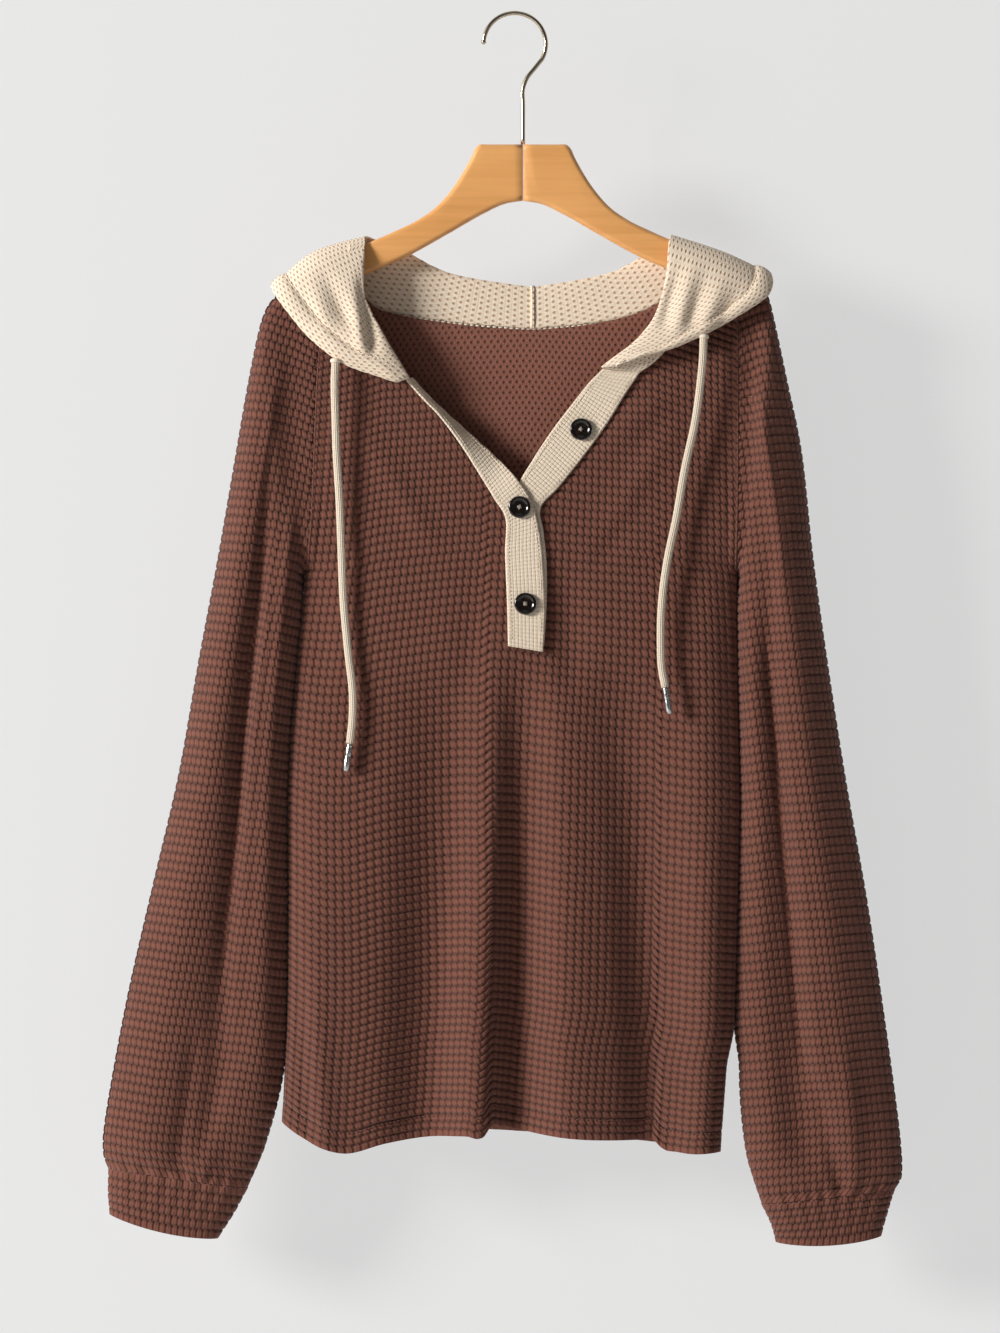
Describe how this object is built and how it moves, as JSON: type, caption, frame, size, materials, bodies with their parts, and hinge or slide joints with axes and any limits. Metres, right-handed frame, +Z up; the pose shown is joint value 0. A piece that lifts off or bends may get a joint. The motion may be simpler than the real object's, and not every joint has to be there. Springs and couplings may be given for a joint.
{
  "type": "hoodie on a clothes hanger",
  "caption": "Reddish brown waffle-knit hoodie with a buttoned placket, cream hood and drawstrings, hanging on a wooden clothes hanger with a metal hook.",
  "frame": {"origin": "inside top of the hanger's hook, where a rail carries it", "axes": "+X to the right as seen from the front, +Y from the garment's front to its back, +Z up"},
  "size_m": [0.6412, 0.0898, 0.994],
  "materials": {
    "brown_knit": "matte",
    "cream_knit": "matte",
    "cream_cord": "matte",
    "dark_button": "gloss",
    "honey_wood": "satin",
    "hook_metal": "polished",
    "string_metal": "polished"
  },
  "bodies": {
    "root": {"front": "brown_knit", "back": "brown_knit", "sleeve_left": "brown_knit", "sleeve_right": "brown_knit", "cuff_left": "brown_knit", "cuff_right": "brown_knit", "hood_left": "cream_knit", "hood_right": "cream_knit", "placket_buttonhole_band": "cream_knit", "placket_button_band": "cream_knit", "button_1": "dark_button", "button_2": "dark_button", "button_3": "dark_button", "drawstring_left": "cream_cord", "drawstring_right": "cream_cord", "aglet_left": "string_metal", "aglet_right": "string_metal", "hanger_left": "honey_wood", "hanger_right": "honey_wood", "hook": "hook_metal"}
  },
  "joints": []
}
